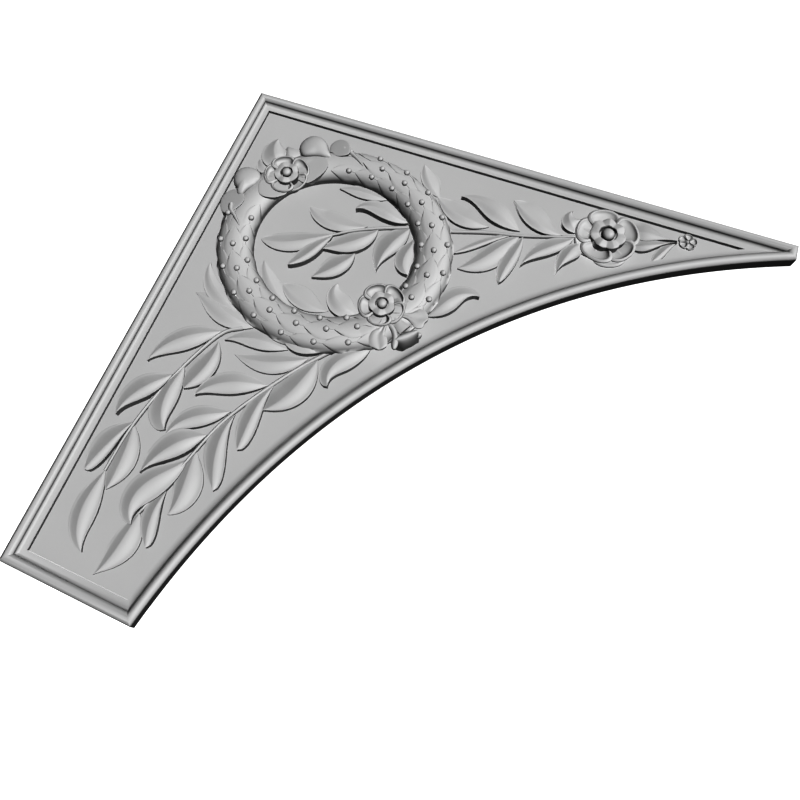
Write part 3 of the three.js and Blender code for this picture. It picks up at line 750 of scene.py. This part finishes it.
def noise(where, scale, detail):
    made = Socket.node("ShaderNodeTexNoise", Vector=where, Scale=scale, Detail=detail)
    return Socket(made.outputs["Fac"])


def primed_plaster(name):
    """The primer, with painted shade that darkens it where the carving's sides turn away from the wall's
    plane.
    """
    material = bpy.data.materials.new(name)
    material.use_nodes = True
    Socket.tree = material.node_tree
    shader = material.node_tree.nodes["Principled BSDF"]
    place = Socket.node("ShaderNodeTexCoord")
    where = Socket(place.outputs["Object"])
    normal = Socket.node("ShaderNodeSeparateXYZ", Vector=Socket(place.outputs["Normal"]))
    facing = Socket(normal.outputs["Y"])
    front = Socket(Socket.node("ShaderNodeMath", {"operation": "ABSOLUTE"}, i0=facing).outputs[0])
    ramp = {"interpolation_type": "SMOOTHSTEP"}
    # Mask of the painted shade: 0 on the steep sides, 1 where the surface faces the front.
    turned = Socket.node("ShaderNodeMapRange", ramp, Value=front, From_Min=STEEP, From_Max=OPEN)
    unshaded_share = Socket(turned.outputs[0])
    cloud = noise(where, 9, 3)
    grain = noise(where, 900, 2)
    ripple = noise(where, 60, 3)
    shade = (cloud - 0.5) * 0.05 + (grain - 0.5) * 0.02 + TONE
    # Painted shade: the colour falls to a dark grey on the carving's steep sides.
    level = unshaded_share * (shade - STEEP_PAINTED_SHADE) + STEEP_PAINTED_SHADE
    colour = Socket.node("ShaderNodeCombineColor", Red=level, Green=level, Blue=level)
    Socket.tree.links.new(colour.outputs[0], shader.inputs["Base Color"])
    rough = (cloud - 0.5) * 0.1 + (grain - 0.5) * 0.08 + ROUGHNESS
    Socket.tree.links.new(rough.output, shader.inputs["Roughness"])
    height = grain * 0.35 + ripple
    bump = Socket.node("ShaderNodeBump", Strength=0.12, Distance=0.0004, Height=height)
    Socket.tree.links.new(bump.outputs[0], shader.inputs["Normal"])
    shader.inputs["Specular IOR Level"].default_value = 0.6
    return material


plaster = primed_plaster("primed_plaster")
pieces = [panel, *sprays, wreath_band, wreath_berries, corner_flower, bow_flower, rosette, bud]
pieces += [right_fruit, left_fruit, *curls, broad_leaves, bow]
for piece in pieces:
    piece.data.materials.append(plaster)
    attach(piece, "root")
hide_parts("spandrel_panel")

# Stage: a pale floor below the panel, a white surround and soft studio light from the right
# of the camera. The panel hangs as it does on the wall and is seen from below its middle.
FLOOR_SIZE, FLOOR_LEVEL = 12, -0.62
CAMERA_PLACE = (0.19043, -0.74182, -0.36269)
CAMERA_ACROSS = (0.9136, 0.0893, 0.3966)
CAMERA_UP = (-0.3125, -0.4697, 0.8257)
CAMERA_BACK = (0.26, -0.8783, -0.4012)
bpy.ops.mesh.primitive_plane_add(size=FLOOR_SIZE, location=(0, 0, FLOOR_LEVEL))
floor = bpy.context.object
floor.name = "floor"
pale = bpy.data.materials.new("pale_floor")
pale.use_nodes = True
pale_shader = pale.node_tree.nodes["Principled BSDF"]
pale_shader.inputs["Base Color"].default_value = (0.9, 0.9, 0.9, 1)
pale_shader.inputs["Roughness"].default_value = 0.9
pale_shader.inputs["Emission Color"].default_value = (1, 1, 1, 1)
pale_shader.inputs["Emission Strength"].default_value = 1.0
floor.data.materials.append(pale)
floor.visible_diffuse = floor.visible_glossy = False
floor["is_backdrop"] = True

world = bpy.data.worlds.new("studio")
bpy.context.scene.world = world
world.use_nodes = True
Socket.tree = world.node_tree
background = world.node_tree.nodes["Background"]
seen = Socket(Socket.node("ShaderNodeLightPath").outputs["Is Camera Ray"])
background.inputs["Color"].default_value = (1, 1, 1, 1)
Socket.tree.links.new((seen * 0.98 + 0.02).output, background.inputs["Strength"])


def sun(name, direction, strength, width):
    """Shadowless sunlight from a direction, over a disc of so many degrees."""
    data = bpy.data.lights.new(name, "SUN")
    data.energy = strength
    data.angle = math.radians(width)
    data.use_shadow = False
    light = bpy.data.objects.new(name, data)
    light.rotation_euler = Vector(direction).to_track_quat("Z", "Y").to_euler()
    bpy.context.collection.objects.link(light)


sun("key", (0.64, -0.768, -0.03), 3.15, 4)
sun("wall_side", (-0.4, 0.85, 0.35), 1.5, 20)

lens = bpy.data.cameras.new("camera")
camera = bpy.data.objects.new("camera", lens)
bpy.context.collection.objects.link(camera)
lens.sensor_width = 36
lens.lens = 35.17
lens.shift_x, lens.shift_y = 0.125, -0.175
lens.clip_start, lens.clip_end = 0.01, 50
turn = Matrix((CAMERA_ACROSS, CAMERA_UP, CAMERA_BACK)).transposed()
camera.matrix_world = Matrix.Translation(CAMERA_PLACE) @ turn.to_4x4()
bpy.context.scene.camera = camera

bpy.context.scene.view_settings.view_transform = "Standard"
bpy.context.scene.view_settings.look = "High Contrast"

low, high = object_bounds()
